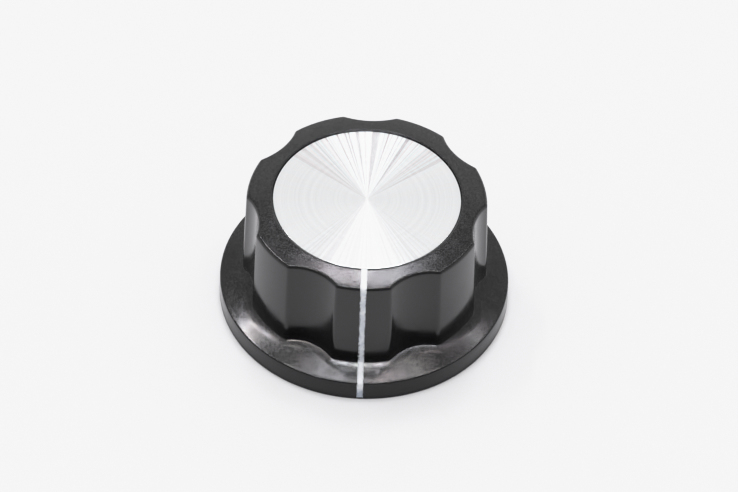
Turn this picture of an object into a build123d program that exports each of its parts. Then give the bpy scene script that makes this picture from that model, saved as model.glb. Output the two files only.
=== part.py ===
from build123d import *
import math
import os

# A skirted control knob, modelled standing on its skirt: +Z is up, the origin is the
# centre of the skirt's base, and the white index line faces -Y. All sizes are in mm.

# Turned disc and its recess
disc_radius = 14.55
disc_thickness = 1.0
disc_bevel = 0.2
disc_step = 0.2
disc_clearance = 0.05
recess_bevel = 0.12

# Fluted grip
grip_height = 21.0
grip_draft = 1.8
grip_edge_radius = 0.55
ring_width = 2.47
ring_inner_slope = 5.0
ring_crown_radius = 32.4
flute_count = 7
flute_depth = 1.4
flute_radius = 9.3
flute_corner_radius = 0.9
foot_bevel = 0.25

# Skirt
skirt_width = 4.03
skirt_slope = 15.7
rim_height = 3.44
rim_draft = 1.0
rim_edge_radius = 0.25
base_bevel = 0.15

# Hollow underside
wall_thickness = 2.5
roof_thickness = 2.4
skirt_thickness = 2.0
rim_thickness = 2.1
hub_wall = 2.5
web_count = 4
web_thickness = 1.8
web_recess = 1.0
hollow_draft = 1.5
hollow_corner_bevel = 0.5

# Shaft bush
shaft_diameter = 6.0
shaft_clearance = 0.025
bush_wall = 2.475
bush_recess = 4.4
bush_cover = 2.8
bush_floor = 0.6
bush_chamfer = 0.4
drill_point_angle = 118.0
keying_groove_width = 1.3
keying_groove_depth = 0.5
keying_groove_inset = 1.2

# Set screw and the tunnel that it is driven through
screw_diameter = 4.0
screw_length = 5.0
screw_height = 10.4
screw_tip_gap = 0.3
screw_thread_clearance = 0.05
screw_chamfer = 0.4
screw_slot_width = 0.6
screw_slot_depth = 1.4
screw_slot_angle = 25.0
tunnel_clearance = 0.2
tunnel_wall = 1.7

# Index line
line_width = 0.94
line_depth = 0.3
line_base_gap = 0.3

# Slopes as ratios
grip_lean = math.tan(math.radians(grip_draft))
rim_lean = math.tan(math.radians(rim_draft))
skirt_rise = math.tan(math.radians(skirt_slope))
hollow_lean = math.tan(math.radians(hollow_draft))

# Radii and heights of the outside
recess_radius = disc_radius + disc_clearance
recess_floor = grip_height - disc_step - disc_thickness
grip_radius = recess_radius + ring_width + flute_depth
flute_centre = grip_radius - flute_depth + flute_radius
blank_height = grip_height + disc_thickness - rim_height
blank_lean = disc_thickness * grip_lean
grip_base_radius = grip_radius + (grip_height - rim_height) * grip_lean
flute_base_radius = flute_radius - (grip_height - rim_height) * grip_lean
skirt_radius = grip_radius + skirt_width
rim_top_radius = skirt_radius - rim_height * rim_lean


def skirt_top(radius):
    """Height of the skirt's sloping face at a radius."""
    return rim_height + (rim_top_radius - radius) * skirt_rise


foot_height = (skirt_top(grip_radius) - grip_height * grip_lean * skirt_rise) / (1 - grip_lean * skirt_rise)
foot_radius = grip_radius + (grip_height - foot_height) * grip_lean

# Radii and heights of the inside
bore_radius = shaft_diameter / 2 + shaft_clearance
bush_radius = bore_radius + bush_wall
bush_top = recess_floor - bush_cover
drill_point_height = bore_radius / math.tan(math.radians(drill_point_angle / 2))
bore_shoulder = bush_top - bush_floor - drill_point_height
hub_radius = bush_radius + hub_wall
roof_height = recess_floor - roof_thickness
web_bottom = bush_recess + web_recess
hollow_radius = grip_radius - flute_depth - wall_thickness
hollow_mouth = skirt_top(hollow_radius) - skirt_thickness
hollow_roof_radius = hollow_radius - (roof_height - hollow_mouth) * hollow_lean
rim_inner_radius = skirt_radius - rim_thickness
rim_inner_top = skirt_top(rim_inner_radius) - skirt_thickness
rim_inner_base_radius = rim_inner_radius + rim_inner_top * hollow_lean
screw_radius = screw_diameter / 2
screw_hole_radius = screw_radius + screw_thread_clearance
screw_start = bore_radius + screw_tip_gap
tunnel_radius = screw_radius + tunnel_clearance

# A solid placed by the middle of its foot
upright = (Align.CENTER, Align.CENTER, Align.MIN)

# Sections are drawn through the middle of the lobe beside the index line, clear of every corner
section_angle = 360 / flute_count - 90
section_plane = Plane.XZ.rotated((0, 0, section_angle))

# The index line is drawn on a plane whose local X points to -Y, and the set screw lies along +Y.
# On both planes local Y is up
line_plane = Plane(origin=(0, line_depth, -line_depth), x_dir=(0, -1, 0), z_dir=(-1, 0, 0))
screw_plane = Plane(origin=(0, 0, screw_height), x_dir=(-1, 0, 0), z_dir=(0, 1, 0))


def ring_arc(reach):
    """Crowned top of the ring in section, from a radius inwards to the disc's recess."""
    slope = math.radians(ring_inner_slope)
    centre_radius = recess_radius - ring_crown_radius * math.sin(slope)
    centre_height = grip_height - ring_crown_radius * math.cos(slope)
    start = math.degrees(math.acos((reach - centre_radius) / ring_crown_radius))
    sweep_angle = 90 - ring_inner_slope - start
    return CenterArc((centre_radius, centre_height), ring_crown_radius, start, sweep_angle)


# Skirt: a shallow cone over a short upright rim
with BuildPart() as skirt:
    with BuildSketch(section_plane) as skirt_section:
        with BuildLine():
            Polyline(
                (0, 0),
                (skirt_radius, 0),
                (rim_top_radius, rim_height),
                (hollow_radius, skirt_top(hollow_radius)),
                (0, skirt_top(hollow_radius)),
                close=True,
            )
        make_face()
        rim_corners = skirt_section.vertices().sort_by(Axis.X)[-2:].sort_by(Axis.Y)
        chamfer(rim_corners[0], base_bevel)
        fillet(rim_corners[1], rim_edge_radius)
    revolve(axis=Axis.Z)

# Crowned top of the grip in section
with BuildSketch(section_plane) as crown_section:
    with BuildLine():
        crown = ring_arc(skirt_radius)
        Polyline(crown @ 1, (0, grip_height), (0, 0), (skirt_radius, 0), crown @ 0)
    make_face()

# Grip: a column that widens downwards, with scooped flutes, softened corners and a crowned top
with BuildPart() as grip:
    with Locations(Location((0, 0, rim_height), (0, 0, section_angle))):
        Cone(grip_base_radius, grip_radius - blank_lean, blank_height, align=upright)
    with PolarLocations(flute_centre, flute_count, start_angle=90):
        with Locations((0, 0, rim_height)):
            Cone(flute_base_radius, flute_radius + blank_lean, blank_height, align=upright, mode=Mode.SUBTRACT)
    lobe_edges = grip.edges().group_by(Edge.length)[-1]
    fillet(lobe_edges, flute_corner_radius)
    revolve(profiles=crown_section.sketch, axis=Axis.Z, mode=Mode.INTERSECT)
    ring_face = grip.faces().filter_by(GeomType.REVOLUTION)[0]
    fillet(ring_face.outer_wire().edges(), grip_edge_radius)

# Outside of the moulding, with a small bevel where the grip meets the skirt
with BuildPart() as outside:
    add(skirt.part)
    add(grip.part)
    chamfer(outside.edges(Select.NEW), foot_bevel)

# Recess for the disc, with a small bevel round its mouth
with BuildPart() as disc_recess:
    with BuildSketch(section_plane):
        with BuildLine():
            Polyline(
                (0, recess_floor),
                (recess_radius, recess_floor),
                (recess_radius, grip_height - recess_bevel),
                (recess_radius + recess_bevel + disc_step, grip_height + disc_step),
                (0, grip_height + disc_step),
                close=True,
            )
        make_face()
    revolve(axis=Axis.Z)

# Hollow underside: the space round the hub, less the webs and the screw's tunnel
with BuildPart() as hollow:
    with BuildSketch(section_plane) as hollow_section:
        with BuildLine():
            Polyline(
                (0, 0),
                (rim_inner_base_radius, 0),
                (rim_inner_radius, rim_inner_top),
                (hollow_radius, hollow_mouth),
                (hollow_roof_radius, roof_height),
                (0, roof_height),
                close=True,
            )
        make_face()
        hollow_corners = hollow_section.vertices().sort_by(Axis.X)[-4:-1]
        chamfer(hollow_corners, hollow_corner_bevel)
    revolve(axis=Axis.Z)
    with BuildSketch(Plane.XY.offset(roof_height)):
        Circle(hub_radius)
    extrude(amount=bush_recess - roof_height, taper=hollow_draft, mode=Mode.SUBTRACT)
    with BuildSketch(Plane.XY.offset(roof_height)):
        with PolarLocations(0, web_count, start_angle=90):
            Rectangle(skirt_radius, web_thickness, align=(Align.MIN, Align.CENTER))
    extrude(amount=web_bottom - roof_height, taper=hollow_draft, mode=Mode.SUBTRACT)
    with BuildSketch(screw_plane):
        Circle(tunnel_radius + tunnel_wall)
        Rectangle(2 * (tunnel_radius + tunnel_wall), roof_height - screw_height, align=(Align.CENTER, Align.MIN))
    extrude(amount=skirt_radius, mode=Mode.SUBTRACT)

# Outline of the shaft bush, with grooves that key it into the moulding
with BuildPart() as bush_blank:
    with BuildSketch(section_plane):
        with BuildLine():
            Polyline((0, bush_recess), (bush_radius, bush_recess), (bush_radius, bush_top), (0, bush_top), close=True)
        make_face()
        with Locations(
            (bush_radius, bush_recess + keying_groove_inset),
            (bush_radius, bush_top - keying_groove_inset - keying_groove_width),
        ):
            Rectangle(2 * keying_groove_depth, keying_groove_width, align=(Align.CENTER, Align.MIN), mode=Mode.SUBTRACT)
    revolve(axis=Axis.Z)

# Shaft bush: a blind drilled bore, a bevelled mouth and a cross hole for the set screw
with BuildPart() as shaft_bush:
    add(bush_blank.part)
    with BuildSketch(section_plane) as bore_section:
        with BuildLine():
            Polyline(
                (0, bush_recess),
                (bore_radius + bush_chamfer, bush_recess),
                (bore_radius, bush_recess + bush_chamfer),
                (bore_radius, bore_shoulder),
                (0, bore_shoulder + drill_point_height),
                close=True,
            )
        make_face()
    revolve(axis=Axis.Z, mode=Mode.SUBTRACT)
    with BuildSketch(screw_plane):
        Circle(screw_hole_radius)
    extrude(amount=skirt_radius, mode=Mode.SUBTRACT)
shaft_bush.part.label = "shaft_bush"

# Cutter that engraves the index line. Its inner side is the outline of a lobe, moved in and
# down by the line's depth
with BuildPart() as engraver:
    with BuildSketch(line_plane):
        with BuildLine():
            crest = ring_arc(grip_radius)
            Polyline(
                crest @ 0,
                (foot_radius, foot_height),
                (rim_top_radius, rim_height),
                (skirt_radius, line_base_gap + line_depth),
                (skirt_radius + skirt_width, line_base_gap + line_depth),
                (skirt_radius + skirt_width, grip_height + rim_height),
                (recess_radius - ring_width, grip_height + rim_height),
                (recess_radius - ring_width, grip_height),
                crest @ 1,
            )
        make_face()
    extrude(amount=line_width / 2, both=True)

# Moulding before the line is engraved
with BuildPart() as plain_body:
    add(outside.part)
    add(disc_recess.part, mode=Mode.SUBTRACT)
    add(hollow.part, mode=Mode.SUBTRACT)
    add(bush_blank.part, mode=Mode.SUBTRACT)
    with BuildSketch(screw_plane.offset(bore_radius)):
        Circle(tunnel_radius)
    extrude(amount=skirt_radius, mode=Mode.SUBTRACT)

# Paint that fills the engraved line flush with the surface
with BuildPart() as index_line:
    add(plain_body.part)
    add(engraver.part, mode=Mode.INTERSECT)
index_line.part.label = "index_line"

# Finished moulding
with BuildPart() as knob_body:
    add(plain_body.part)
    add(engraver.part, mode=Mode.SUBTRACT)
knob_body.part.label = "knob_body"

# Turned disc, bedded on the floor of its recess
with BuildPart() as face_disc:
    with BuildSketch(Plane.XY.offset(recess_floor)):
        Circle(disc_radius)
    extrude(amount=disc_thickness)
    chamfer(face_disc.edges().sort_by(Axis.Z)[-1], disc_bevel)
face_disc.part.label = "face_disc"

# Slotted set screw, backed off so that its tip clears the bore
with BuildPart() as set_screw:
    with BuildSketch(screw_plane.offset(screw_start)):
        Circle(screw_radius)
    extrude(amount=screw_length)
    chamfer(set_screw.edges().filter_by(GeomType.CIRCLE), screw_chamfer)
    with BuildSketch(screw_plane.offset(screw_start + screw_length)):
        Rectangle(2 * screw_diameter, screw_slot_width, rotation=screw_slot_angle)
    extrude(amount=-screw_slot_depth, mode=Mode.SUBTRACT)
set_screw.part.label = "set_screw"

os.makedirs("parts", exist_ok=True)
for piece in (knob_body, face_disc, index_line, shaft_bush, set_screw):
    export_step(piece.part, f"parts/{piece.part.label}.step")
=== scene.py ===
import math

import bmesh
import bpy
import numpy as np
from mathutils import Matrix


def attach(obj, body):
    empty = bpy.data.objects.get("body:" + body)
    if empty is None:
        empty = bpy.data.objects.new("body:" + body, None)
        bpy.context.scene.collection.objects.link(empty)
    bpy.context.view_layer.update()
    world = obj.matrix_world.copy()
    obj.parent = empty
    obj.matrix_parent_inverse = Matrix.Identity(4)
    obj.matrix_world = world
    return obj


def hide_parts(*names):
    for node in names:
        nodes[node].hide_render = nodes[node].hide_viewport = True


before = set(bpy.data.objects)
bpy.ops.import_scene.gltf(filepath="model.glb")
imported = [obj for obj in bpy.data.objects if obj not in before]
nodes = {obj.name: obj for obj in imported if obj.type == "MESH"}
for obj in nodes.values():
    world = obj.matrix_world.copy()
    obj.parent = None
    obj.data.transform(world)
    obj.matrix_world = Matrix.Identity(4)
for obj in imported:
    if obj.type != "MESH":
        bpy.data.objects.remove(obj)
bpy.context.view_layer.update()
print("frame loaded:", ", ".join(sorted(nodes)))

mm = 0.001  # every shape below is worked out in millimetres and put into its mesh in metres


# Small helpers

def smoothStep(low, high, value):
    # 0 up to low, 1 from high on, and 3 t squared less 2 t cubed at a share t of the way between
    t = np.clip((value - low) / (high - low), 0.0, 1.0)
    return t * t * (3 - 2 * t)


def wander(position, seed, waves, shortest, longest):
    # a fixed sum of sines of random phase and wavelength, from about -1 to 1 along a line
    rng = np.random.default_rng(seed)
    lengths = np.exp(rng.uniform(math.log(shortest), math.log(longest), waves))
    phases = rng.uniform(0, 2 * math.pi, waves)
    total = np.sin(2 * math.pi * np.asarray(position)[..., None] / lengths + phases).sum(axis=-1)
    return total / math.sqrt(waves)


def ringQuads(rings):
    # quads between neighbouring closed rings, each a row of vertex numbers
    after = np.roll(rings, -1, axis=1)
    return np.stack([rings[:-1], after[:-1], after[1:], rings[1:]], axis=-1)


def gridQuads(rows, columns):
    # quads of a grid that is closed round its columns, its vertices numbered row by row
    return ringQuads(np.arange(rows * columns).reshape(rows, columns))


def fanFaces(ring, centre):
    # triangles from one closed ring of vertices to the vertex at its middle
    return np.stack([ring, np.roll(ring, -1), np.full(len(ring), centre)], axis=-1)


def makeMesh(name, points, *faceBlocks):
    mesh = bpy.data.meshes.new(name)
    faces = [face for block in faceBlocks for face in block.reshape(-1, block.shape[-1]).tolist()]
    mesh.from_pydata((points * mm).tolist(), [], faces)
    mesh.update()
    return mesh


def makeObject(name, mesh, material, crease=35):
    # edges that turn by more than crease, in degrees, stay sharp, and the rest is shaded smooth
    obj = bpy.data.objects.new(name, mesh)
    bpy.context.scene.collection.objects.link(obj)
    mesh.materials.clear()
    mesh.materials.append(material)
    mesh.shade_smooth()
    mesh.set_sharp_from_angle(angle=math.radians(crease))
    return obj


def faceOutwards(mesh):
    # for a closed shell
    shell = bmesh.new()
    shell.from_mesh(mesh)
    bmesh.ops.recalc_face_normals(shell, faces=shell.faces)
    shell.to_mesh(mesh)
    shell.free()


def tubeMesh(name, grid):
    # a closed tube: a grid whose columns go round it, with a fan over each end
    rows, columns = grid.shape[:2]
    ends = [grid[0].mean(axis=0)[None], grid[-1].mean(axis=0)[None]]
    first = np.arange(columns)
    mesh = makeMesh(
        name,
        np.concatenate([grid.reshape(-1, 3), *ends]),
        gridQuads(rows, columns),
        fanFaces(first[::-1], rows * columns),
        fanFaces(first + (rows - 1) * columns, rows * columns + 1),
    )
    faceOutwards(mesh)
    return mesh


# Camera: the photograph's place, 47 degrees up, through a long lens

cameraView = {
    "elevation": 0.82533,  # radians above the floor
    "roll": 0.03761,  # radians
    "distance": 780.463,  # mm ahead to the foot of the axis
    "offset": (-0.83083, -6.91047),  # mm from the view's middle to the foot, across and up
    "lens": 243.9,  # mm
    "sensor": 36.0,  # mm
    "nearest": 0.05,  # m, where the view begins
}


def placeCamera():
    # ahead falls by the elevation, across and upward are turned about it by the roll, and the
    # camera stands back from the foot of the axis by its distance along ahead
    lift, roll = cameraView["elevation"], cameraView["roll"]
    right = np.array([1.0, 0.0, 0.0])
    ahead = np.array([0.0, math.cos(lift), -math.sin(lift)])
    up = np.cross(right, ahead)
    across = math.cos(roll) * right + math.sin(roll) * up
    upward = -math.sin(roll) * right + math.cos(roll) * up
    shiftX, shiftY = cameraView["offset"]
    place = -(shiftX * across + shiftY * upward + cameraView["distance"] * ahead) * mm
    lens = bpy.data.cameras.new("camera")
    lens.lens = cameraView["lens"]
    lens.sensor_width = cameraView["sensor"]
    lens.clip_start = cameraView["nearest"]
    camera = bpy.data.objects.new("camera", lens)
    columns = [(*across, 0.0), (*upward, 0.0), (*-ahead, 0.0), (*place, 1.0)]
    camera.matrix_world = Matrix(columns).transposed()
    bpy.context.scene.collection.objects.link(camera)
    bpy.context.scene.camera = camera


placeCamera()
print("camera placed")


# Shader helpers, and the effects that several finishes share

mostNoise = (0.35, 0.65)  # most values of a noise lie between these
allNoise = (0.3, 0.7)  # and nearly all between these
fineNoise = (3.0, 0.6)  # detail and roughness of the grain
slowNoise = (2.0, 0.5)  # and of the patches


def addNode(tree, kind, **settings):
    node = tree.nodes.new(kind)
    for name, value in settings.items():
        setattr(node, name, value)
    return node


def feed(tree, node, **inputs):
    # an input is named by its label, with _ for each space, or by i and its number. Its value is a
    # number, a colour or another node's output socket
    for name, value in inputs.items():
        numbered = name[0] == "i" and name[1:].isdigit()
        socket = node.inputs[int(name[1:]) if numbered else name.replace("_", " ")]
        if isinstance(value, bpy.types.NodeSocket):
            tree.links.new(value, socket)
        else:
            socket.default_value = value
    return node


def maths(tree, operation, first, second=0.0, third=0.0):
    node = addNode(tree, "ShaderNodeMath", operation=operation)
    return feed(tree, node, i0=first, i1=second, i2=third).outputs[0]


def plus(tree, first, second):
    return maths(tree, "ADD", first, second)


def times(tree, first, second):
    return maths(tree, "MULTIPLY", first, second)


def ramp(tree, value, fromLow, fromHigh, toLow, toHigh, smooth=True):
    # carries one range of values over to another, held at its ends, smoothly or in a straight line
    node = addNode(tree, "ShaderNodeMapRange", interpolation_type="SMOOTHSTEP" if smooth else "LINEAR")
    feed(tree, node, Value=value, From_Min=fromLow, From_Max=fromHigh, To_Min=toLow, To_Max=toHigh)
    return node.outputs["Result"]


def vectorMaths(tree, operation, first, second=(0.0, 0.0, 0.0)):
    return feed(tree, addNode(tree, "ShaderNodeVectorMath", operation=operation), i0=first, i1=second)


def withoutHeight(tree, place):
    return vectorMaths(tree, "MULTIPLY", place, (1.0, 1.0, 0.0)).outputs["Vector"]


def axisDistance(tree, place):
    # the length of the place once its height is taken away
    return vectorMaths(tree, "LENGTH", withoutHeight(tree, place)).outputs["Value"]


def splitPlace(tree, place):
    return feed(tree, addNode(tree, "ShaderNodeSeparateXYZ"), Vector=place).outputs


def blendColours(tree, factor, first, second):
    node = addNode(tree, "ShaderNodeMix", data_type="RGBA")
    return feed(tree, node, i0=factor, i6=first, i7=second).outputs[2]


def bumpNormal(tree, height, distance, strength=1.0):
    # the normal of a face raised by height times distance, which is in mm
    node = addNode(tree, "ShaderNodeBump")
    return feed(tree, node, Strength=strength, Distance=distance * mm, Height=height).outputs["Normal"]


def noise(tree, place, scale, detail, roughness=0.5):
    node = addNode(tree, "ShaderNodeTexNoise")
    return feed(tree, node, Vector=place, Scale=scale, Detail=detail, Roughness=roughness).outputs["Fac"]


def newGroup(name, inputs, outputs):
    # inputs are labels with their first values, and outputs are labels of plain numbers
    group = bpy.data.node_groups.new(name, "ShaderNodeTree")
    for label, value in inputs:
        kind = "NodeSocketVector" if isinstance(value, tuple) else "NodeSocketFloat"
        group.interface.new_socket(label, in_out="INPUT", socket_type=kind).default_value = value
    for label in outputs:
        group.interface.new_socket(label, in_out="OUTPUT", socket_type="NodeSocketFloat")
    return group, addNode(group, "NodeGroupInput").outputs, addNode(group, "NodeGroupOutput")


def grainGroup():
    # fine grain and slow patches: two noises at very different sizes
    group, inlet, outlet = newGroup(
        "grainAndPatches",
        [("Place", (0.0, 0.0, 0.0)), ("Grains per mm", 6.0), ("Patches per mm", 0.25)],
        ["Grain", "Patches"],
    )
    for label, rate, kind in (
        ("Grain", "Grains per mm", fineNoise),
        ("Patches", "Patches per mm", slowNoise),
    ):
        values = noise(group, inlet["Place"], times(group, inlet[rate], 1 / mm), *kind)
        group.links.new(values, outlet.inputs[label])
    return group


def turningGroup():
    # tool marks round the Z axis of Place. Along the radius, in turns of the pitch that a noise
    # makes waver, the height is the square of the distance from each turn's middle, and slow bands
    # are a noise along the radius in millimetres
    group, inlet, outlet = newGroup(
        "turningMarks",
        [("Place", (0.0, 0.0, 0.0)), ("Pitch in mm", 0.1), ("Waver", 0.2)],
        ["Height", "Bands"],
    )
    radius = times(group, axisDistance(group, inlet["Place"]), 1 / mm)
    turns = maths(group, "DIVIDE", radius, inlet["Pitch in mm"])
    uneven = addNode(group, "ShaderNodeTexNoise", noise_dimensions="1D")
    feed(group, uneven, W=turns, Scale=0.7, Detail=2.0, Roughness=0.7)
    moved = maths(group, "MULTIPLY_ADD", uneven.outputs["Fac"], inlet["Waver"], turns)
    across = maths(group, "SUBTRACT", maths(group, "FRACT", moved), 0.5)
    bands = addNode(group, "ShaderNodeTexNoise", noise_dimensions="1D")
    feed(group, bands, W=radius, Scale=1.6, Detail=4.0, Roughness=0.65)
    group.links.new(times(group, across, across), outlet.inputs["Height"])
    group.links.new(bands.outputs["Fac"], outlet.inputs["Bands"])
    return group


grain = grainGroup()
turning = turningGroup()


def newMaterial(name):
    material = bpy.data.materials.new(name)
    material.use_nodes = True
    tree = material.node_tree
    return material, tree, tree.nodes["Principled BSDF"]


def objectPlace(tree):
    return addNode(tree, "ShaderNodeTexCoord").outputs["Object"]


def meshMask(tree, name):
    return addNode(tree, "ShaderNodeAttribute", attribute_name=name).outputs["Fac"]


def useGrain(tree, place, finish):
    # the finish's own grain and patches
    node = addNode(tree, "ShaderNodeGroup", node_tree=grain)
    rates = {"Grains per mm": finish["grainsPerMm"], "Patches per mm": finish["patchesPerMm"]}
    feed(tree, node, Place=place, **rates)
    return node.outputs["Grain"], node.outputs["Patches"]


def useTurning(tree, place, finish):
    # the finish's own tool marks and bands
    node = addNode(tree, "ShaderNodeGroup", node_tree=turning)
    feed(tree, node, **{"Place": place, "Pitch in mm": finish["pitch"], "Waver": finish["waver"]})
    return node.outputs["Height"], node.outputs["Bands"]


mouldingFinish = {
    "colour": (0.006, 0.006, 0.0065, 1.0),
    "wallRoughness": 0.15,
    "topRoughness": 0.17,
    "undersideRoughness": 0.42,
    "wear": 0.03,  # change of roughness from patch to patch
    "speckle": 0.06,  # change of roughness from grain to grain on a flat face
    "grainsPerMm": 5.0,
    "patchesPerMm": 0.3,
    "grainHeight": 0.003,  # mm, on a flat face
    "wallGrain": 0.12,  # share of that height on an upright face
    "index": 1.46,  # of refraction
    "shine": 0.5,  # specular level
    "rimShine": 0.33,
    "rimBlend": (22.2, 22.42),  # mm from the axis, where the rim's shine takes over
    "fleckContrast": 0.45,
}


def makeMouldingMaterial():
    # gloss plastic, rougher as a face lies flatter, and a little more or less so in patches and
    # grains. Its rim is duller than the rest, and its flat faces are flecked
    finish = mouldingFinish
    material, tree, shader = newMaterial("blackMoulding")
    place = objectPlace(tree)
    grains, patches = useGrain(tree, place, finish)
    flatness, hidden = meshMask(tree, "flatness"), meshMask(tree, "hidden")
    worn = ramp(tree, patches, *mostNoise, -finish["wear"], finish["wear"])
    base = ramp(tree, flatness, 0.0, 1.0, finish["wallRoughness"], finish["topRoughness"])
    base = ramp(tree, hidden, 0.0, 1.0, base, finish["undersideRoughness"])
    speckle = ramp(tree, grains, *mostNoise, -finish["speckle"], finish["speckle"], smooth=False)
    rough = plus(tree, plus(tree, base, worn), times(tree, speckle, flatness))
    height = times(tree, grains, ramp(tree, flatness, 0.0, 1.0, finish["wallGrain"], 1.0))
    normal = bumpNormal(tree, height, finish["grainHeight"])
    rimStart, rimEnd = finish["rimBlend"]
    distance = axisDistance(tree, place)
    shine = ramp(tree, distance, rimStart * mm, rimEnd * mm, finish["shine"], finish["rimShine"])
    # the flecks are a noise of the material's own, which falls in with the grain
    contrast = finish["fleckContrast"]
    flecks = noise(tree, place, finish["grainsPerMm"] / mm, *fineNoise)
    flecks = ramp(tree, flecks, *mostNoise, 1.0 - contrast, 1.0 + contrast)
    shine = times(tree, shine, ramp(tree, flatness, 0.0, 1.0, 1.0, flecks))
    feed(tree, shader, Base_Color=finish["colour"], Roughness=rough, IOR=finish["index"])
    feed(tree, shader, Specular_IOR_Level=shine, Normal=normal)
    return material


discFinish = {
    "warmTint": (1.0, 0.955, 0.965, 1.0),
    "coolTint": (0.91, 0.98, 1.0, 1.0),
    "speckColour": (0.02, 0.02, 0.025, 1.0),
    "grainsPerMm": 9.0,
    "patchesPerMm": 0.2,
    "speckGrain": (0.16, 0.22),  # grain below which a speck is dark
    "bandShade": 0.94,  # tone of the darkest bands
    # the painted reflection streaks: how many round the disc, and how deeply their gaps darken at the back
    # and front
    "streaksPerTurn": 84.0,
    "backDepth": 0.52,
    "frontDepth": 0.2,
    "roughness": 0.16,
    "bandRoughness": 0.01,  # change of roughness from band to band
    "stretch": 0.75,  # how far a highlight is drawn out across the marks
    "pitch": 0.11,
    "waver": 0.0,
    "markSlope": 0.06,
    "dish": 0.025,
}


def paintedStreakGroup():
    # painted reflections of the lamps, which stay fixed to the disc: streaks that run out from the centre,
    # by a noise taken on the circle of directions, darken and tint the colour between them. They are
    # strongest to the back, where north is near 1, and weaker in front, where it is near -1
    group, inlet, outlet = newGroup(
        "paintedReflectionStreaks",
        [("Place", (0.0, 0.0, 0.0)), ("Streaks per turn", 48.0), ("Back depth", 0.5), ("Front depth", 0.2)],
        ["Shade", "Hue"],
    )
    outward = vectorMaths(group, "NORMALIZE", withoutHeight(group, inlet["Place"])).outputs["Vector"]
    streaksAtScaleOne = 3.4
    scale = maths(group, "DIVIDE", inlet["Streaks per turn"], streaksAtScaleOne)
    streaks = noise(group, outward, scale, 2.0, 0.6)
    hues = noise(group, outward, times(group, scale, 2.0), 0.0)
    north = splitPlace(group, outward)["Y"]
    backEdge = (0.54, 0.62)
    inner = ramp(group, north, 0.74, 0.92, 0.45, 1.0)
    back = times(group, ramp(group, north, *backEdge, 0.0, inner), inlet["Back depth"])
    front = times(group, ramp(group, north, -0.55, -0.9, 0.0, 1.0), inlet["Front depth"])
    # the painted shade in the gaps between the painted highlight streaks
    dip = ramp(group, streaks, 0.38, 0.58, 1.0, 0.0)
    shade = maths(group, "SUBTRACT", 1.0, times(group, dip, plus(group, back, front)))
    # the painted tint of the reflected lamps, strongest to the back
    tinted = maths(group, "SUBTRACT", hues, 0.5)
    tinted = times(group, tinted, ramp(group, north, *backEdge, 0.15, 1.0))
    group.links.new(shade, outlet.inputs["Shade"])
    group.links.new(plus(group, tinted, 0.5), outlet.inputs["Hue"])
    return group


paintedStreakTree = paintedStreakGroup()


def makeDiscMaterial():
    # turned metal: its highlights are drawn out across the marks, its tone is the product of bands,
    # dark specks and painted streaks of lamp reflection, and its tint goes from warm to cool from painted
    # streak to painted streak
    finish = discFinish
    material, tree, shader = newMaterial("turnedAluminium")
    place = objectPlace(tree)
    scallops, bands = useTurning(tree, place, finish)
    grains, _ = useGrain(tree, place, finish)
    # height in mm: fine scallops, and a face that rises very slightly outwards
    scallops = times(tree, scallops, finish["markSlope"] * finish["pitch"])
    rise = times(tree, vectorMaths(tree, "LENGTH", place).outputs["Value"], finish["dish"] / mm)
    normal = bumpNormal(tree, plus(tree, scallops, rise), 1.0)
    # painted reflection streaks: a shade and a tint by bearing that stand in for the lamps' streaks
    fan = addNode(tree, "ShaderNodeGroup", node_tree=paintedStreakTree)
    depths = {"Back depth": finish["backDepth"], "Front depth": finish["frontDepth"]}
    feed(tree, fan, **{"Place": place, "Streaks per turn": finish["streaksPerTurn"]}, **depths)
    shade = ramp(tree, bands, *allNoise, finish["bandShade"], 1.0)
    specks = ramp(tree, grains, *finish["speckGrain"], 0.3, 1.0)
    # the tone takes the painted streak shade as well as the bands and specks
    tone = times(tree, times(tree, shade, specks), fan.outputs["Shade"])
    # the warm and cool tints follow the painted streaks, a painted reflection of the lamps' colours
    hue = ramp(tree, fan.outputs["Hue"], 0.38, 0.62, 0.0, 1.0)
    metal = blendColours(tree, hue, finish["warmTint"], finish["coolTint"])
    colour = blendColours(tree, tone, finish["speckColour"], metal)
    middle, change = finish["roughness"], finish["bandRoughness"]
    rough = ramp(tree, bands, *allNoise, middle - change, middle + change)
    tangent = addNode(tree, "ShaderNodeTangent", direction_type="RADIAL", axis="Z").outputs["Tangent"]
    feed(tree, shader, Base_Color=colour, Metallic=1.0, Roughness=rough, Normal=normal)
    feed(tree, shader, Anisotropic=finish["stretch"], Anisotropic_Rotation=0.25, Tangent=tangent)
    return material


paintFinish = {
    "colour": (0.80, 0.83, 0.86, 1.0),
    "thinColour": (0.42, 0.47, 0.54, 1.0),
    "bareColour": (0.03, 0.03, 0.035, 1.0),
    "roughness": 0.42,
    "grainsPerMm": 4.0,
    "patchesPerMm": 0.9,
    "ripple": 0.02,  # mm
    "wallFoot": (4.6, 5.6),  # heights in mm between which the thin paint of the wall begins
    "wallTop": (19.2, 20.2),  # and ends
    "rimTop": (1.6, 2.6),  # and those over which it thins again on the rim
    "wallThinness": 0.45,
    "edge": (0.36, 0.44),  # mm from the middle, over which the paint stops
    "raggedness": 0.2,  # mm that the grain moves this edge
    "speckGrain": (0.24, 0.30),
}


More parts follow.
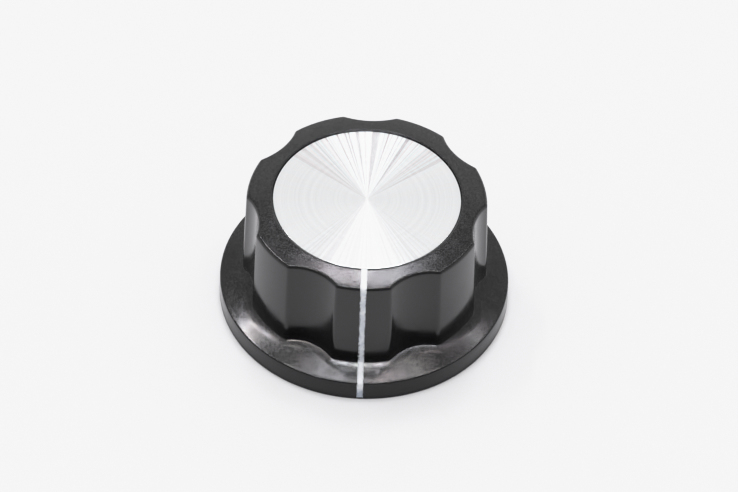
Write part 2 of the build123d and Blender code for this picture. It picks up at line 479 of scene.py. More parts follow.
def makePaintMaterial():
    # thick white paint on the ring and the skirt. On the wall and low on the rim it is thin, more
    # or less so from patch to patch, and the dark plastic shows through specks and ragged edges
    finish = paintFinish
    material, tree, shader = newMaterial("linePaint")
    place = objectPlace(tree)
    grains, patches = useGrain(tree, place, finish)
    parts = splitPlace(tree, place)

    def change(bounds, below, above):
        # a smooth change with height, between two that the finish names
        low, high = finish[bounds]
        return ramp(tree, parts["Z"], low * mm, high * mm, below, above)

    onWall = times(tree, change("wallFoot", 0.0, 1.0), change("wallTop", 1.0, 0.0))
    onRim = change("rimTop", 1.0, 0.0)
    thin = maths(tree, "MAXIMUM", times(tree, onWall, finish["wallThinness"]), onRim)
    thin = times(tree, thin, ramp(tree, patches, 0.35, 0.62, 0.35, 1.3))
    colour = blendColours(tree, maths(tree, "MINIMUM", thin, 1.0), finish["colour"], finish["thinColour"])
    # the brush left ragged edges where less paint took, and a few bare specks
    specks = ramp(tree, grains, *finish["speckGrain"], 1.0, 0.0)
    moved = finish["raggedness"] * mm
    across = maths(tree, "ABSOLUTE", parts["X"])
    across = plus(tree, across, ramp(tree, grains, 0.36, 0.64, -moved, moved, smooth=False))
    edgeStart, edgeEnd = finish["edge"]
    bare = ramp(tree, across, edgeStart * mm, edgeEnd * mm, 0.0, 1.0)
    bare = times(tree, bare, ramp(tree, onWall, 0.0, 1.0, 0.35, 1.0))
    colour = blendColours(tree, maths(tree, "MAXIMUM", specks, bare), colour, finish["bareColour"])
    rough = ramp(tree, patches, *allNoise, finish["roughness"] - 0.08, finish["roughness"] + 0.1)
    normal = bumpNormal(tree, grains, finish["ripple"])
    feed(tree, shader, Base_Color=colour, Roughness=rough, IOR=1.45, Normal=normal)
    return material


brassFinish = {
    "colour": (0.78, 0.57, 0.27, 1.0),
    "dullColour": (0.55, 0.38, 0.17, 1.0),
    "roughness": (0.22, 0.39),  # from the clean patches to the dull ones
    "grainsPerMm": 5.0,
    "patchesPerMm": 0.35,
    "pitch": 0.16,
    "waver": 0.4,
    "markHeight": 0.012,  # mm
}


def makeBrassMaterial():
    # turned metal that has gone dull in patches
    finish = brassFinish
    material, tree, shader = newMaterial("turnedBrass")
    place = objectPlace(tree)
    scallops, _ = useTurning(tree, place, finish)
    _, patches = useGrain(tree, place, finish)
    dull = ramp(tree, patches, 0.35, 0.7, 0.0, 0.8)
    colour = blendColours(tree, dull, finish["colour"], finish["dullColour"])
    rough = ramp(tree, patches, *allNoise, *finish["roughness"])
    normal = bumpNormal(tree, scallops, finish["markHeight"], strength=0.7)
    feed(tree, shader, Base_Color=colour, Metallic=1.0, Roughness=rough, Normal=normal)
    return material


steelFinish = {
    "colour": (0.46, 0.465, 0.47, 1.0),
    "dullColour": (0.25, 0.25, 0.26, 1.0),
    "roughness": (0.25, 0.43),  # from the smoothest grains to the roughest
    "grainsPerMm": 7.0,
    "patchesPerMm": 0.6,
    "grainHeight": 0.01,  # mm
}


def makeSteelMaterial():
    # darkened metal with a fine grain, duller in patches
    finish = steelFinish
    material, tree, shader = newMaterial("screwSteel")
    grains, patches = useGrain(tree, objectPlace(tree), finish)
    dull = ramp(tree, patches, *allNoise, 0.0, 0.8)
    colour = blendColours(tree, dull, finish["colour"], finish["dullColour"])
    rough = ramp(tree, grains, *allNoise, *finish["roughness"])
    normal = bumpNormal(tree, grains, finish["grainHeight"], strength=0.6)
    feed(tree, shader, Base_Color=colour, Metallic=1.0, Roughness=rough, Normal=normal)
    return material


mouldingMaterial = makeMouldingMaterial()
discMaterial = makeDiscMaterial()
paintMaterial = makePaintMaterial()
brassMaterial = makeBrassMaterial()
steelMaterial = makeSteelMaterial()
print("finishes made")


# Moulding: a fluted grip with a crowned ring on top, over a shallow skirt

moulding = {
    "gripHeight": 21.0,
    "gripRadius": 18.47,
    "gripDraft": 1.8,  # degrees off upright
    "edgeRound": 0.6,  # between the ring and the wall
    "crownRadius": 32.4,
    "crownSlope": 5.0,  # degrees down towards the recess
    "recessRadius": 14.6,
    "recessFloor": 19.8,
    "recessRound": 0.12,
    "recessRings": (6.0, 13.8),  # radii of the rows on the floor
    "recessLevels": (20.2, 20.5),  # heights of the rows on its wall
    "flutes": 7,
    "fluteRadius": 9.3,
    "fluteCentre": 26.37,  # from the axis
    "cornerRound": 0.9,  # between a lobe and a flute
    "footRound": 0.08,  # between the wall and the skirt
    "footFlare": (1.5, 0.115),  # width and rise of the skirt's upturn at the wall
    "skirtSlope": 15.7,  # degrees
    "rimHeight": 3.44,
    "rimTopRadius": 22.44,
    "rimDraft": 1.0,
    "rimRound": 0.25,
    "rimLevels": (2.4, 1.6, 0.9),  # heights of the rows on the rim
    "baseRound": 0.15,
    "baseInner": 21.4,
    "lineHalfWidth": 0.47,
    "lineDepth": 0.2,
    "lineBottom": 0.3,
    "lineWall": 0.012,  # width of the engraving's steep sides
    "fanStart": 3.5,  # degrees from the line, where the columns beside it begin to fan out
    "fanEnd": 11.9,
    "tunnelHeight": 10.4,
    "tunnelRadius": 2.34,
    "tunnelBlock": (3.4, 24),  # what is left out round its mouth, in mm up and columns aside
    "gripHollow": (16.4, 19.0),  # radius and height within which a place is inside the grip
    "skirtHollow": (20.6, 3.62),  # and under the skirt
    "columns": {"line": 4, "lobe": 11, "corner": 13, "flute": 30},
    "rows": {"ring": 12, "edge": 15, "wall": 25, "foot": 13, "flare": 8, "skirt": 7, "rim": 9},
}

gripLean = math.radians(moulding["gripDraft"])
skirtLean = math.radians(moulding["skirtSlope"])
rimLean = math.radians(moulding["rimDraft"])
crownTilt = math.radians(moulding["crownSlope"])
crownMiddle = moulding["recessRadius"] - moulding["crownRadius"] * math.sin(crownTilt)
crownBase = moulding["gripHeight"] - moulding["crownRadius"] * math.cos(crownTilt)
hair = 0.001  # keeps rows apart that would otherwise lie on one another


def crownHeight(radius):
    # height of the ring's top: a circle of crownRadius in section, sloping as crownSlope says at
    # the recess and as high as the grip there
    return crownBase + np.sqrt(moulding["crownRadius"] ** 2 - (radius - crownMiddle) ** 2)


def crownFall(radius):
    # how steeply the ring's top falls outwards at a radius
    return (radius - crownMiddle) / np.sqrt(moulding["crownRadius"] ** 2 - (radius - crownMiddle) ** 2)


def skirtHeight(radius):
    # the skirt's face falls in a straight line to the top of the rim
    return moulding["rimHeight"] + (moulding["rimTopRadius"] - radius) * math.tan(skirtLean)


def rimRadius(height):
    # the rim leans out in a straight line towards the base
    return moulding["rimTopRadius"] + (moulding["rimHeight"] - height) * math.tan(rimLean)


def gripOutline():
    # radius, bearing and outward direction round the grip's top edge. From a lobe's middle to a
    # flute's middle: an arc round the axis, a small corner arc inside it, and an arc round the
    # flute's own centre. The rest is that stretch mirrored and turned
    shape, count = moulding, moulding["columns"]
    half = math.pi / shape["flutes"]
    cornerReach = shape["gripRadius"] - shape["cornerRound"]
    joined = shape["fluteRadius"] + shape["cornerRound"]
    # the corner's centre is cornerReach from the axis and joined from the flute's centre
    squares = cornerReach ** 2 + shape["fluteCentre"] ** 2 - joined ** 2
    lobeEnd = half - math.acos(squares / (2 * cornerReach * shape["fluteCentre"]))
    corner = cornerReach * np.exp(1j * lobeEnd)
    flute = shape["fluteCentre"] * np.exp(1j * half)
    turnEnd = np.angle(flute - corner)
    lineEdge = math.asin(shape["lineHalfWidth"] / shape["gripRadius"])
    lineInside = math.asin((shape["lineHalfWidth"] - shape["lineWall"]) / shape["gripRadius"])
    inLine = np.linspace(0, lineInside, count["line"])
    lobe = np.concatenate([inLine, np.linspace(lineEdge, lobeEnd, count["lobe"], endpoint=False)])
    turn = np.linspace(lobeEnd, turnEnd, count["corner"], endpoint=False)
    scoop = np.linspace(turnEnd, half, count["flute"] + 1)
    points = np.concatenate(
        [
            shape["gripRadius"] * np.exp(1j * lobe),
            corner + shape["cornerRound"] * np.exp(1j * turn),
            flute - shape["fluteRadius"] * np.exp(1j * scoop),
        ]
    )
    facing = np.concatenate([lobe, turn, scoop])
    bearing = np.angle(points)
    radius = np.abs(points)
    bearing = np.concatenate([bearing, 2 * half - bearing[-2:0:-1]])
    facing = np.concatenate([facing, 2 * half - facing[-2:0:-1]])
    radius = np.concatenate([radius, radius[-2:0:-1]])
    turns = 2 * half * np.arange(shape["flutes"])[:, None] - math.pi / 2
    return np.tile(radius, shape["flutes"]), (bearing + turns).ravel(), (facing + turns).ravel()


outlineRadius, outlineBearing, outlineFacing = gripOutline()
outlineSpot = outlineRadius * np.exp(1j * outlineBearing)
outlineOut = np.exp(1j * outlineFacing)
columnCount = len(outlineRadius)


def meetOffsets(firstTilt, firstLevel, secondTilt, secondLevel):
    # where two lines of a section cross: a line's normal is (cos tilt, sin tilt) and its level is
    # the distance along that normal
    det = np.sin(secondTilt - firstTilt)
    across = (firstLevel * np.sin(secondTilt) - secondLevel * np.sin(firstTilt)) / det
    height = (secondLevel * np.cos(firstTilt) - firstLevel * np.cos(secondTilt)) / det
    return across, height


def roundRows(size, reach, tries, steps, fallAt, heightAt):
    # rows of the round between the grip's wall and another face, from the wall on, in the plane of
    # the outline's outward direction. Its centre lies its size from both faces, behind them for a
    # size above 0 and before them for one below 0, and its points turn from one face's direction to
    # the other's. The other face is taken as flat where the round meets it, at reach from the
    # outline, which a few tries settle
    wallLevel = moulding["gripHeight"] * math.sin(gripLean)
    for _ in range(tries):
        spot = outlineSpot + outlineOut * reach
        radius = np.abs(spot)
        outwards = (outlineOut * np.conj(spot)).real / radius
        tilt = math.pi / 2 - np.arctan(fallAt(radius, outwards))
        level = reach * np.cos(tilt) + heightAt(radius) * np.sin(tilt)
        across, up = meetOffsets(gripLean, wallLevel - size, tilt, level - size)
        reach = across + size * np.cos(tilt)
    rows = []
    for part in np.linspace(0, 1, steps):
        turned = gripLean + (tilt - gripLean) * part
        plan = outlineSpot + outlineOut * (across + size * np.cos(turned))
        rows.append((plan, up + size * np.sin(turned)))
    return rows, reach


def circleRow(directions, radius, height):
    # a row round the axis, at one radius and height or at one of each for every column
    return directions * radius, height + np.zeros(columnCount)


def recessRows(directions):
    # floor, wall and the round at the mouth, up to where the ring begins
    shape, size = moulding, moulding["recessRound"]
    mouth = shape["recessRadius"] + size
    mouthHeight = float(crownHeight(mouth))
    radii = (*shape["recessRings"], shape["recessRadius"])
    levels = (*shape["recessLevels"], mouthHeight - size)
    rows = [circleRow(directions, radius, shape["recessFloor"]) for radius in radii]
    rows += [circleRow(directions, shape["recessRadius"], level) for level in levels]
    for tilt in np.radians((150, 115)):
        level = mouthHeight - size * (1 - math.sin(tilt))
        rows.append(circleRow(directions, mouth + size * math.cos(tilt), level))
    return rows, mouth, len(radii) + len(levels)


def skirtRows(directions, start):
    # the upturn at the wall, the straight skirt, the round at the rim's top and the rim
    shape, count = moulding, moulding["rows"]
    flareWidth, flareRise = shape["footFlare"]
    size = shape["rimRound"]
    topTilt = math.pi / 2 - skirtLean
    rimLevel = shape["rimTopRadius"] * math.cos(rimLean) + shape["rimHeight"] * math.sin(rimLean)
    topLevel = shape["rimTopRadius"] * math.cos(topTilt) + shape["rimHeight"] * math.sin(topTilt)
    across, up = meetOffsets(rimLean, rimLevel - size, topTilt, topLevel - size)
    skirtEnd = across + size * math.cos(topTilt)
    rows = []
    for part in np.linspace(0, 1, count["flare"] + 1)[1:]:
        radius = start + flareWidth * part
        rows.append(circleRow(directions, radius, skirtHeight(radius) + flareRise * (1 - part) ** 2))
    for part in np.linspace(0, 1, count["skirt"] + 2)[1:-1]:
        radius = start + flareWidth + (skirtEnd - start - flareWidth) * part
        rows.append(circleRow(directions, radius, skirtHeight(radius)))
    for tilt in np.linspace(topTilt, rimLean, count["rim"]):
        rows.append(circleRow(directions, across + size * math.cos(tilt), up + size * math.sin(tilt)))
    for level in (*shape["rimLevels"], shape["lineBottom"] + shape["lineWall"]):
        rows.append(circleRow(directions, rimRadius(level), level))
    return rows


def baseRows(directions):
    # a hair's step that ends the line, the base's round and its flat ring
    shape, size = moulding, moulding["baseRound"]
    rows = [circleRow(directions, rimRadius(0) - 2 * hair, shape["lineBottom"])]
    for tilt in np.radians((0, -30, -60, -90)):
        radius = rimRadius(0) - 3 * hair - size * (1 - math.cos(tilt))
        rows.append(circleRow(directions, radius, size * (1 + math.sin(tilt))))
    rows.append(circleRow(directions, shape["baseInner"], 0.0))
    return rows


def sectionRows():
    # rows of the outside, from the recess's middle over the ring, down the wall and out to the
    # base. Each row is a complex plan position and a height for every column
    shape, count = moulding, moulding["rows"]
    flareWidth, flareRise = shape["footFlare"]

    def ringFallAt(radius, outwards):
        return crownFall(radius) * outwards

    def skirtFallAt(radius, outwards):
        return math.tan(skirtLean) * outwards + 2 * flareRise / flareWidth

    def flaredHeight(radius):
        return skirtHeight(radius) + flareRise

    edge, foot = shape["edgeRound"], shape["footRound"]
    edgeRows, reach = roundRows(edge, -edge, 6, count["edge"], ringFallAt, crownHeight)
    edgeRows.reverse()
    footRows, _ = roundRows(-foot, 0.4, 8, count["foot"], skirtFallAt, flaredHeight)

    # recess and ring: circles about the axis, then a drift to the edge's own outline
    ringSpot = outlineSpot + outlineOut * reach
    around = ringSpot / np.abs(ringSpot)
    rows, mouth, recessEnd = recessRows(around)
    for part in np.linspace(0, 1, count["ring"], endpoint=False):
        radius = mouth + (np.abs(ringSpot) - mouth) * part
        rows.append(circleRow(around, radius, crownHeight(radius)))
    rows += edgeRows

    # wall: straight down its lean
    wallTop, wallFoot = edgeRows[-1][1], footRows[0][1]
    wallStart = len(rows)
    for part in np.linspace(0, 1, count["wall"] + 2)[1:-1]:
        height = wallTop + (wallFoot - wallTop) * part
        lean = (shape["gripHeight"] - height) * math.tan(gripLean)
        rows.append((outlineSpot + outlineOut * lean, height))
    wallSpan = (wallStart, len(rows))
    rows += footRows

    # skirt, rim and base: circles about the axis again
    start = np.abs(footRows[-1][0])
    around = footRows[-1][0] / start
    rows += skirtRows(around, start)
    lineEnd = len(rows)
    rows += baseRows(around)

    plan = np.array([row[0] for row in rows])
    height = np.array([row[1] for row in rows])
    return plan, height, recessEnd, lineEnd, wallSpan


plan, height, recessEnd, lineEnd, wallSpan = sectionRows()

# Round the front lobe every row is a circle, so its columns can slide round it: they run
# straight out beside the line, at one distance from the middle plane, and fan out further off
frontBearing = (outlineBearing + math.pi / 2 + math.pi) % (2 * math.pi) - math.pi
fanStart, fanEnd = math.radians(moulding["fanStart"]), math.radians(moulding["fanEnd"])
nearLine = np.abs(frontBearing) < fanEnd
straight = 1 - smoothStep(fanStart, fanEnd, np.abs(frontBearing))
rowRadius = np.abs(plan)
sideways = moulding["gripRadius"] * np.sin(frontBearing)
parallel = np.arcsin(np.clip(sideways / np.maximum(rowRadius, 1.0), -1, 1))
outerRow = (rowRadius[:, 0] > 10)[:, None]
slid = frontBearing + (parallel - frontBearing) * straight
plan = np.where(nearLine & outerRow, rowRadius * np.exp(1j * (slid - math.pi / 2)), plan)

# Section through the middle of the front lobe, its outward direction at each row, and the
# engraved line: those columns go in by the line's depth along that direction
frontRadius = rowRadius[:, 0]
frontHeight = height[:, 0]
alongRadius = np.gradient(frontRadius)
alongHeight = np.gradient(frontHeight)
stretch = np.maximum(np.hypot(alongRadius, alongHeight), 1e-9)
outRadius, outHeight = -alongHeight / stretch, alongRadius / stretch
outRadius[: recessEnd + 2], outHeight[: recessEnd + 2] = 0.0, 1.0
engraved = np.zeros(len(frontRadius))
engraved[recessEnd - 1 : lineEnd] = moulding["lineDepth"]
lineReach = moulding["lineHalfWidth"] - moulding["lineWall"] / 2
inLine = np.abs(frontBearing) < math.asin(lineReach / moulding["gripRadius"])
sunk = engraved[:, None] * inLine[None, :]
plan = plan * (1 - sunk * outRadius[:, None] / np.maximum(np.abs(plan), 1.0))
height = height - sunk * outHeight[:, None]
outside = np.stack([plan.real, plan.imag, height], axis=-1)


def tunnelPatch(grid):
    # the screw's tunnel opens in the back flute's wall. A block of the grid is left out, and rings
    # lead from the block's border to a circle: in the view along Y each ring point lies part of the
    # way from the border to the circle, and its depth is the flute's own, a cone about its centre
    shape = moulding
    blockReach, blockColumns = shape["tunnelBlock"]
    wallHeights = grid[wallSpan[0] : wallSpan[1], columnCount // 2, 2]
    firstRow, lastRow = (
        wallSpan[0] + int(np.argmin(np.abs(wallHeights - shape["tunnelHeight"] - reach)))
        for reach in (blockReach, -blockReach)
    )
    # the block's border, from its first corner round to the one before it
    firstColumn = columnCount // 2 - blockColumns
    lastColumn = columnCount // 2 + blockColumns
    blockRows = lastRow - firstRow
    rowIndex = np.concatenate(
        [
            np.full(2 * blockColumns, firstRow),
            np.arange(firstRow, lastRow),
            np.full(2 * blockColumns, lastRow),
            np.arange(lastRow, firstRow, -1),
        ]
    )
    columnIndex = np.concatenate(
        [
            np.arange(firstColumn, lastColumn),
            np.full(blockRows, lastColumn),
            np.arange(lastColumn, firstColumn, -1),
            np.full(blockRows, firstColumn),
        ]
    )
    border = grid[rowIndex, columnIndex]
    angle = np.arctan2(border[:, 2] - shape["tunnelHeight"], border[:, 0])
    circleX = shape["tunnelRadius"] * np.cos(angle)
    circleZ = shape["tunnelHeight"] + shape["tunnelRadius"] * np.sin(angle)
    part = np.linspace(0, 1, 7)[1:, None]
    ringX = border[:, 0] + (circleX - border[:, 0]) * part
    ringZ = border[:, 2] + (circleZ - border[:, 2]) * part
    coneRadius = shape["fluteRadius"] - (shape["gripHeight"] - ringZ) * math.tan(gripLean)
    ringY = shape["fluteCentre"] - np.sqrt(coneRadius ** 2 - ringX ** 2)
    left = np.zeros((grid.shape[0] - 1, columnCount), bool)
    left[firstRow:lastRow, firstColumn:lastColumn] = True
    return left, rowIndex * columnCount + columnIndex, np.stack([ringX, ringY, ringZ], axis=-1)


def outsideMesh():
    # the grid of rows without the tunnel's block, the rings round the tunnel's mouth, and a fan
    # over the middle of the recess
    left, border, rings = tunnelPatch(outside)
    start = outside.shape[0] * columnCount
    ringIndex = start + np.arange(rings[..., 0].size).reshape(rings.shape[:2])
    centre = start + ringIndex.size
    middle = [[0, 0, moulding["recessFloor"]]]
    return makeMesh(
        "outside",
        np.concatenate([outside.reshape(-1, 3), rings.reshape(-1, 3), middle]),
        gridQuads(outside.shape[0], columnCount)[~left],
        ringQuads(np.concatenate([border[None], ringIndex])),
        fanFaces(np.arange(columnCount), centre),
    )


def inHollow(radius, height):
    # whether a place is inside the grip, and whether it is under the skirt
    (gripRadius, gripTop), (skirtRadius, skirtTop) = moulding["gripHollow"], moulding["skirtHollow"]
    return (radius < gripRadius) & (height < gripTop), (radius < skirtRadius) & (height < skirtTop)


baseLevel = 0.01  # what lies below this is the base


def undersideMesh():
    # the hollow, hub, webs and tunnel are the CAD moulding's own inner faces, merged
    shell = bmesh.new()
    shell.from_mesh(nodes["knob_body"].data)
    bmesh.ops.remove_doubles(shell, verts=shell.verts, dist=0.0005 * mm)
    away = []
    for face in shell.faces:
        middle = face.calc_center_median() / mm
        inGrip, underSkirt = inHollow(math.hypot(middle.x, middle.y), middle.z)
        if not (inGrip or (underSkirt and middle.z > baseLevel)):
            away.append(face)
    bmesh.ops.delete(shell, geom=away, context="FACES")
    mesh = bpy.data.meshes.new("underside")
    shell.to_mesh(mesh)
    shell.free()
    return mesh


def joinRings(shell, vertices, bearings, sizes, limit):
    # closes the gap between two rings round one centre: every edge of one ring makes a triangle
    # with the vertex of the other that comes last before it, or next after it, round the centre
    order = np.argsort(bearings)
    outer = [index for index in order if sizes[index] > limit]
    inner = [index for index in order if sizes[index] <= limit]
    outerBearing, innerBearing = bearings[outer], bearings[inner]
    before = (np.searchsorted(innerBearing, outerBearing, "right") - 1) % len(inner)
    following = np.searchsorted(outerBearing, np.roll(innerBearing, -1), "left") % len(outer)
    following[-1] = np.searchsorted(outerBearing, innerBearing[0], "left") % len(outer)
    for index, partner in enumerate(before):
        corners = (outer[index], outer[(index + 1) % len(outer)], inner[partner])
        shell.faces.new([vertices[corner] for corner in corners])
    for index, partner in enumerate(following):
        corners = (inner[(index + 1) % len(inner)], inner[index], outer[partner])
        shell.faces.new([vertices[corner] for corner in corners])


def makeMoulding():
    # the outside and the underside, joined round the base and round the tunnel's mouth
    shell = bmesh.new()
    shell.from_mesh(outsideMesh())
    shell.from_mesh(undersideMesh())
    loose = [vertex for vertex in shell.verts if not vertex.link_faces]
    bmesh.ops.delete(shell, geom=loose, context="VERTS")
    openEdges = [vertex for vertex in shell.verts if vertex.is_boundary]
    x, y, z = (np.array([vertex.co for vertex in openEdges]) / mm).T
    low = z < baseLevel
    # the last number of each lies between the two rings' radii
    for chosen, across, up, between in (
        (low, x, y, 21.0),
        (~low, x, z - moulding["tunnelHeight"], 2.27),
    ):
        picked = np.flatnonzero(chosen)
        vertices = [openEdges[index] for index in picked]
        across, up = across[picked], up[picked]
        joinRings(shell, vertices, np.arctan2(up, across), np.hypot(across, up), between)
        print("joined two rings of", len(picked), "vertices in all")
    bmesh.ops.recalc_face_normals(shell, faces=shell.faces)
    openCount = sum(edge.is_boundary or not edge.is_manifold for edge in shell.edges)
    print("open edges after joining:", openCount)
    mesh = bpy.data.meshes.new("moulding")
    shell.to_mesh(mesh)
    shell.free()
    # the CAD faces bring their own stored normals, which no longer fit once they are joined
    stored = mesh.attributes.get("custom_normal")
    if stored:
        mesh.attributes.remove(stored)
    obj = makeObject("moulding", mesh, mouldingMaterial)

    # per-vertex masks for the finish: how flat the outside lies, and what is out of sight inside
    spots, facing = np.empty((len(mesh.vertices), 3)), np.empty((len(mesh.vertices), 3))
    mesh.vertices.foreach_get("co", spots.ravel())
    mesh.vertices.foreach_get("normal", facing.ravel())
    spots = spots / mm
    inGrip, underSkirt = inHollow(np.hypot(spots[:, 0], spots[:, 1]), spots[:, 2])
    inside = inGrip | underSkirt
    masks = {"flatness": smoothStep(0.35, 0.93, facing[:, 2]) * ~inside, "hidden": inside.astype(float)}
    for name, values in masks.items():
        layer = mesh.attributes.new(name, "FLOAT", "POINT")
        layer.data.foreach_set("value", values.astype(np.float32))
    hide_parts("knob_body")
    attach(obj, "root")
    return obj


mouldingPiece = makeMoulding()
print("moulding made:", len(mouldingPiece.data.polygons), "faces")


# Index line: white paint in the engraved line, from the disc to near the base

indexLine = {
    "halfWidth": 0.47,
    "edgeWander": 0.035,
    "edgeSeeds": (5, 11),  # left and right
    "edgeWaves": (14, 0.3, 3.0),  # how many, and their shortest and longest lengths
    "ripple": 0.006,
    "rippleSeed": 23,
    "rippleWaves": (10, 0.25, 1.5),
    "spill": 0.016,  # how far the skin stands over the engraving's edges
    "sunk": 0.03,  # how far the middle lies below the surface
    "shoulder": 0.12,  # width over which the paint climbs out of the engraving
    "feather": 0.06,  # width over which the skin thins at its edges
    "leastThickness": 0.004,
    "step": 0.07,
    "across": 15,
}


def makeIndexLine():
    # a strip along the front section: its middle lies a little below the surface, its edges wander
    # and spill over the engraving as a thin skin, and its back lies on the engraving's floor
    line, half = indexLine, indexLine["halfWidth"]
    first, last = recessEnd + 1, lineEnd
    radius, level = frontRadius[first:last], frontHeight[first:last]
    length = np.concatenate([[0], np.cumsum(np.hypot(np.diff(radius), np.diff(level)))])
    along = np.arange(0, length[-1], line["step"])
    radius, level, outR, outZ = (
        np.interp(along, length, values)
        for values in (radius, level, outRadius[first:last], outHeight[first:last])
    )
    size = np.hypot(outR, outZ)
    outR, outZ = outR / size, outZ / size
    across = np.linspace(-1, 1, line["across"])
    left, right = (
        half + line["edgeWander"] * wander(along, seed, *line["edgeWaves"])
        for seed in line["edgeSeeds"]
    )
    sideways = np.where(across < 0, left[:, None], right[:, None]) * across
    rise = smoothStep(half - line["shoulder"], half - 0.01, np.abs(sideways))
    fromEdge = (1 - np.abs(across)) * half
    thin = np.minimum(1.0, 0.25 + 0.75 * smoothStep(0, line["feather"], fromEdge))
    slanted = along[:, None] + 1.3 * sideways
    ripple = line["ripple"] * wander(slanted, line["rippleSeed"], *line["rippleWaves"])
    top = -line["sunk"] * (1 - rise) + line["spill"] * rise * thin + ripple * thin
    deep = smoothStep(half - 0.004, half - 0.03, np.abs(sideways))
    under = -0.002 - (moulding["lineDepth"] - 0.01) * deep

    def lay(offset):
        # the strip's points at an offset along the section's outward direction
        reach = radius[:, None] + outR[:, None] * offset
        height = level[:, None] + outZ[:, None] * offset
        return np.stack([sideways, -np.sqrt(reach ** 2 - sideways ** 2), height], axis=-1)

    under = np.minimum(under, top - line["leastThickness"])
    grid = np.concatenate([lay(top), lay(under)[:, ::-1]], axis=1)
    obj = makeObject("indexLine", tubeMesh("indexLine", grid), paintMaterial, crease=60)
    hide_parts("index_line")
    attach(obj, "root")
    return obj


linePiece = makeIndexLine()
print("index line made:", len(linePiece.data.polygons), "faces")


# Turned disc

disc = {
    "radius": 14.55,
    "floor": 19.8,
    "thickness": 1.0,
    "bevel": 0.2,
    "backBevel": 0.05,
    "soften": 0.03,  # length of the bends at the bevel's two ends
    "faceRings": (10.0, 5.0, 1.0),  # radii of the rings on the face
    "columns": 360,
}


def makeDisc():
    # a section turned about the axis: flat back, upright edge, bevel and flat face, with the
    # bevel's two ends softened
    edge, floor, top = disc["radius"], disc["floor"], disc["floor"] + disc["thickness"]
    bevel, soft, backBevel = disc["bevel"], disc["soften"], disc["backBevel"]
    section = np.array(
        [
            (4.0, floor),
            (edge - backBevel, floor),
            (edge, floor + backBevel),
            (edge, top - bevel - soft),
            (edge - 0.3 * soft, top - bevel + 0.2 * soft),
            (edge - bevel + 0.2 * soft, top - 0.3 * soft),
            (edge - bevel - soft, top),
            (edge - bevel - 3 * soft, top),
            *((radius, top) for radius in disc["faceRings"]),
        ]
    )
    bearing = np.linspace(0, 2 * math.pi, disc["columns"], endpoint=False)
    radius, height = section[:, :1], section[:, 1:] + np.zeros(len(bearing))
    grid = np.stack([radius * np.cos(bearing), radius * np.sin(bearing), height], axis=-1)
    obj = makeObject("turnedDisc", tubeMesh("turnedDisc", grid), discMaterial, crease=25)
    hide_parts("face_disc")
    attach(obj, "root")
    return obj


discPiece = makeDisc()
print("disc made:", len(discPiece.data.polygons), "faces")


# Bush and set screw keep their CAD shapes and get their finishes

for nodeName, finish in (("shaft_bush", brassMaterial), ("set_screw", steelMaterial)):
    slots = nodes[nodeName].material_slots
    for index in range(len(slots)):
        slots[index].material = finish
print("bush and screw finished")


# Floor, soft surroundings and rows of lamps in the ceiling

floorPaper = {
    "colour": (0.745, 0.745, 0.75, 1.0),
    "patchPaleness": 1.015,
    "glow": 0.03,
    "roughness": 0.9,
    "reach": 3000.0,  # mm from the middle
    "grainsPerMm": 0.8,
    "patchesPerMm": 0.004,
}

surroundings = {
    "backLight": 1.25,
    "sideLight": 0.7,
    "frontLight": 0.3,
    "behind": (0.88, 1.03),  # y over z, past which a direction counts as behind
    "aside": (0.4, 0.6),  # x over z, past which it no longer does
    "low": (0.25, 0.5),  # z below which it counts as near the floor's level
    "front": (-0.8, 0.0),  # y over which the front's light gives way to the others
}

ceiling = 2000.0 * mm

# Each row of lamps: size and y or x are shares of the ceiling's height, and bearings in degrees are
# those of the streaks on the disc. A row with y runs across at that depth, and one with x runs back
lampRows = {
    "backLamps": {
        "size": (0.009, 0.26),
        "glow": 72.0,
        "tint": (1.0, 0.955, 0.98),
        "bearings": (-22.0, -16.5, -8.5, 0.0, 8.0, 16.0, 22.0),
        "shares": (0.8, 1.0, 1.0, 1.0, 1.0, 1.0, 0.8),
        "y": 0.49,
    },
    "midLamps": {
        "size": (0.02, 0.08),
        "glow": 60.0,
        "tint": (1.0, 0.93, 0.91),
        "bearings": (-30.0, -24.0, -16.5, -8.5, 0.0, 8.0, 16.0, 24.0, 30.0),
        "shares": (0.45, 0.5, 0.8, 1.0, 1.0, 1.0, 0.8, 0.6, 0.45),
        "y": 0.19,
    },
    "nearLamps": {
        "size": (0.03, 0.06),
        "glow": 150.0,
        "tint": (1.0, 0.96, 0.96),
        "bearings": (-24.0, -16.5, -8.5, 0.0, 8.0, 16.0, 24.0),
        "shares": (0.5, 0.8, 1.0, 1.0, 1.0, 0.8, 0.5),
        "y": -0.05,
    },
    "leftLamps": {
        "size": (0.06, 0.035),
        "glow": 90.0,
        "tint": (1.0, 0.95, 0.98),
        "bearings": (-44.0, -48.0, -52.0, -55.0, -58.0),
        "shares": (0.7, 1.0, 1.0, 1.0, 0.7),
        "x": -0.49,
    },
    "rightLamps": {
        "size": (0.06, 0.035),
        "glow": 30.0,
        "tint": (1.0, 0.95, 0.98),
        "bearings": (36.0, 42.0, 49.0, 54.0, 59.0),
        "shares": (0.7, 0.7, 0.9, 0.9, 0.7),
        "x": 0.48,
    },
}

# a lamp's own tint is one of these times its row's
lampTints = (
    (1.0, 0.97, 0.93),
    (0.92, 0.98, 1.06),
    (1.02, 0.96, 1.0),
    (0.96, 1.02, 1.0),
    (0.97, 0.98, 1.05),
)


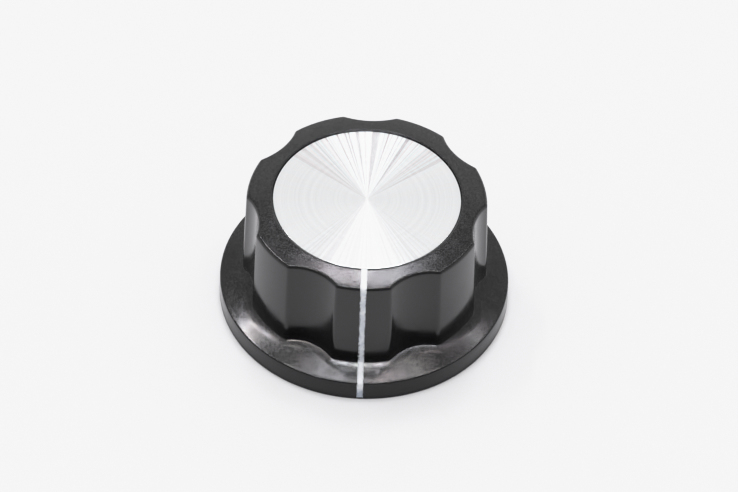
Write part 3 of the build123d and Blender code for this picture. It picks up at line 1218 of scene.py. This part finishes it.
def makeFloor():
    # a flat grid under the knob, a little paler in slow patches
    side = np.linspace(-floorPaper["reach"], floorPaper["reach"], 7)
    x, y = np.meshgrid(side, side)
    points = np.stack([x.ravel(), y.ravel(), np.zeros(x.size)], axis=-1)
    index = np.arange(x.size).reshape(x.shape)
    quads = np.stack([index[:-1, :-1], index[:-1, 1:], index[1:, 1:], index[1:, :-1]], axis=-1)
    material, tree, shader = newMaterial("floorPaper")
    _, patches = useGrain(tree, objectPlace(tree), floorPaper)
    colour = floorPaper["colour"]
    paler = tuple(min(1.0, value * floorPaper["patchPaleness"]) for value in colour[:3]) + (1.0,)
    mixed = blendColours(tree, ramp(tree, patches, *allNoise, 0.0, 1.0), colour, paler)
    feed(tree, shader, Base_Color=mixed, Roughness=floorPaper["roughness"])
    feed(tree, shader, Emission_Color=(1.0, 1.0, 1.0, 1.0), Emission_Strength=floorPaper["glow"])
    makeObject("floor", makeMesh("floor", points, quads), material)


def makeSurroundings():
    # light by direction: brightest behind and near the floor's level, less overhead and at the
    # sides, and dark on the camera's side
    world = bpy.data.worlds.new("surroundings")
    world.use_nodes = True
    bpy.context.scene.world = world
    tree = world.node_tree
    parts = splitPlace(tree, addNode(tree, "ShaderNodeTexCoord").outputs["Generated"])
    deep = maths(tree, "DIVIDE", parts["Y"], parts["Z"])
    aside = maths(tree, "ABSOLUTE", maths(tree, "DIVIDE", parts["X"], parts["Z"]))
    light = surroundings
    behind = ramp(tree, deep, *light["behind"], 0.0, 1.0)
    behind = times(tree, behind, ramp(tree, aside, *light["aside"], 1.0, 0.0))
    low = ramp(tree, parts["Z"], *light["low"], 1.0, 0.0)
    bright = maths(tree, "MAXIMUM", behind, low)
    upper = ramp(tree, bright, 0.0, 1.0, light["sideLight"], light["backLight"])
    glow = ramp(tree, parts["Y"], *light["front"], light["frontLight"], upper)
    feed(tree, tree.nodes["Background"], Color=(1.0, 1.0, 1.0, 1.0), Strength=glow)


def lampSpot(row, bearing):
    # the disc's turning marks show a lamp as a streak along the bearing of the direction halfway
    # between lamp and camera. With the ceiling at height 1 and n the lamp's distance, a lamp at
    # (x, y) gives tan bearing = x / (cos elevation * n - y), which a dozen tries settle
    level = math.cos(cameraView["elevation"])
    x, y = row.get("x", 0.0), row.get("y", 0.0)
    for _ in range(12):
        reach = level * math.sqrt(1 + x * x + y * y)
        if "x" in row:
            y = reach - x / math.tan(math.radians(bearing))
        else:
            x = (reach - y) * math.tan(math.radians(bearing))
    return x, y


def addLamps(name, row, seed):
    # a row of lamps in the ceiling that shine down, each a little stronger or weaker than its share
    rng = np.random.default_rng(seed)
    tints = np.array(lampTints) * row["tint"]
    width, depth = np.array(row["size"]) * ceiling
    for index, bearing in enumerate(row["bearings"]):
        strength = rng.uniform(0.9, 1.1) * row["shares"][index]
        light = bpy.data.lights.new(f"{name}{index}", "AREA")
        light.shape = "RECTANGLE"
        light.size, light.size_y = width, depth
        light.energy = row["glow"] * strength * math.pi * width * depth
        light.color = tints[rng.integers(0, len(tints))]
        lamp = bpy.data.objects.new(f"{name}{index}", light)
        x, y = lampSpot(row, bearing)
        lamp.location = (x * ceiling, y * ceiling, ceiling)
        if "y" in row:
            # turned along the line that its streak's bearing draws in the ceiling
            ahead = 0.05
            aside = lampSpot({"y": y + ahead}, bearing)[0] - x
            lamp.rotation_euler = (0, 0, -math.atan2(aside, ahead))
        lamp.visible_camera = False
        bpy.context.scene.collection.objects.link(lamp)


def setTones():
    # the photograph's highlights roll off gently: brightness in, up to 4, against brightness out
    view = bpy.context.scene.view_settings
    view.view_transform = "Standard"
    view.use_curve_mapping = True
    mapping = view.curve_mapping
    mapping.white_level = (4.0, 4.0, 4.0)
    curve = mapping.curves[3]
    tones = ((0.15, 0.6), (0.2, 0.75), (0.25, 0.85), (0.3, 0.91), (0.4, 0.945), (0.6, 0.967), (0.8, 0.982))
    for brightness, shown in tones:
        curve.points.new(brightness, shown)
    for point in curve.points[:2]:
        point.handle_type = "VECTOR"
    mapping.update()


makeFloor()
makeSurroundings()
for seed, (name, row) in enumerate(lampRows.items()):
    addLamps(name, row, seed)
setTones()
print("floor and lights placed")
